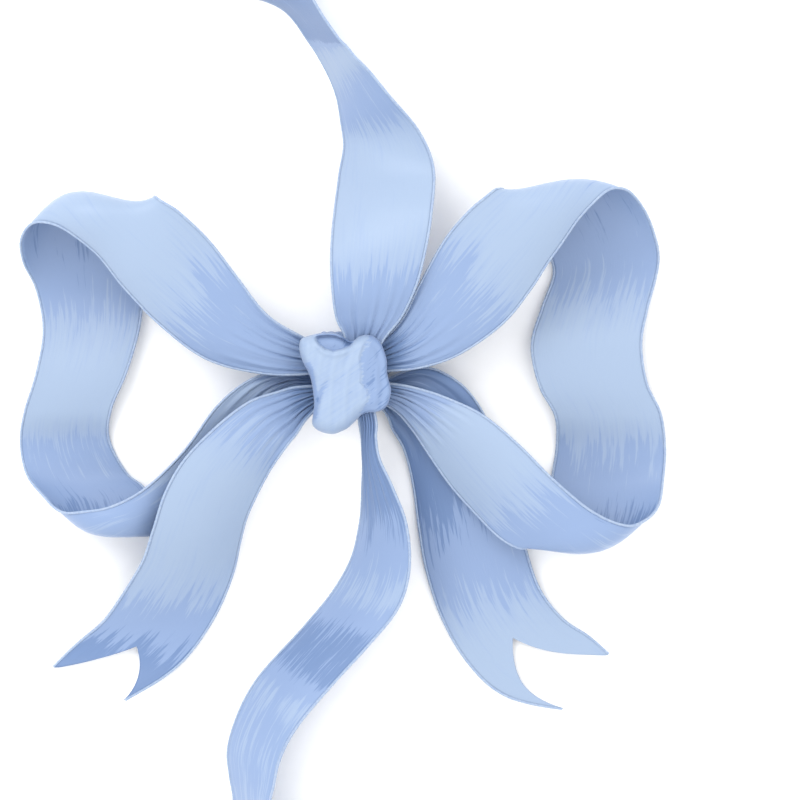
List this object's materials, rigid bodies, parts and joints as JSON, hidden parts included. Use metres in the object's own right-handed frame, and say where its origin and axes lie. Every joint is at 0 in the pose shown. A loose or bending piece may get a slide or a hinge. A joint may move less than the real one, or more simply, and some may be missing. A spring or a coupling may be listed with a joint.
{
  "type": "gift bow",
  "caption": "Ready-tied satin ribbon bow with rolled loops, swallowtail tails, a tied knot with long streamers, and a twist tie at the back to fasten it to a parcel.",
  "frame": {"origin": "on the flat back of the knot, straight behind the middle of its tied front", "axes": "+Z out of the gift through the front of the knot, +X to the right loop, +Y along the upper streamer"},
  "size_m": [0.239, 0.3779, 0.0348],
  "materials": {
    "blue_satin": "satin",
    "wire": "plain drawn wire",
    "tie_sleeve": "thin laminated sleeve"
  },
  "bodies": {
    "bow": {"gathered_waist": "blue_satin", "knot_band": "blue_satin", "knot_front": "blue_satin", "left_loop": "blue_satin", "left_loop_first_edge_wire": "wire", "left_loop_second_edge_wire": "wire", "left_tail_neck": "blue_satin", "lower_streamer_neck": "blue_satin", "right_loop": "blue_satin", "right_loop_first_edge_wire": "wire", "right_loop_second_edge_wire": "wire", "right_tail_neck": "blue_satin", "twist_tie_loop": "tie_sleeve", "upper_streamer_neck": "blue_satin"},
    "left_tail": {"left_tail": "blue_satin", "left_tail_first_edge_wire": "wire", "left_tail_second_edge_wire": "wire"},
    "right_tail": {"right_tail": "blue_satin", "right_tail_first_edge_wire": "wire", "right_tail_second_edge_wire": "wire"},
    "upper_streamer": {"upper_streamer": "blue_satin", "upper_streamer_first_edge_wire": "wire", "upper_streamer_second_edge_wire": "wire"},
    "lower_streamer": {"lower_streamer": "blue_satin", "lower_streamer_first_edge_wire": "wire", "lower_streamer_second_edge_wire": "wire"},
    "left_tie_leg": {"twist_tie_left_leg": "tie_sleeve", "twist_tie_left_wire": "wire"},
    "right_tie_leg": {"twist_tie_right_leg": "tie_sleeve", "twist_tie_right_wire": "wire"}
  },
  "joints": [
    {"name": "left_tail_swing", "type": "hinge", "parent": "bow", "child": "left_tail", "pos_m": [-0.0159, -0.008, 0.0158], "axis": [0, 0, 1], "range_deg": [-6, 10]},
    {"name": "right_tail_swing", "type": "hinge", "parent": "bow", "child": "right_tail", "pos_m": [0.0154, -0.0045, 0.0052], "axis": [0, 0, 1], "range_deg": [-8, 6]},
    {"name": "upper_streamer_swing", "type": "hinge", "parent": "bow", "child": "upper_streamer", "pos_m": [0.0075, 0.016, 0.0197], "axis": [0, 0, 1], "range_deg": [-5, 8]},
    {"name": "lower_streamer_swing", "type": "hinge", "parent": "bow", "child": "lower_streamer", "pos_m": [0.0085, -0.014, 0.0197], "axis": [0, 0, 1], "range_deg": [-8, 8]},
    {"name": "left_tie_leg_fold", "type": "hinge", "parent": "bow", "child": "left_tie_leg", "pos_m": [-0.01225, 0.0025, 0.0014], "axis": [-0.5736, -0.8192, 0], "range_deg": [0, 85]},
    {"name": "right_tie_leg_fold", "type": "hinge", "parent": "bow", "child": "right_tie_leg", "pos_m": [0.01233, 0.0025, 0.0014], "axis": [-0.6157, 0.788, 0], "range_deg": [0, 85]}
  ]
}
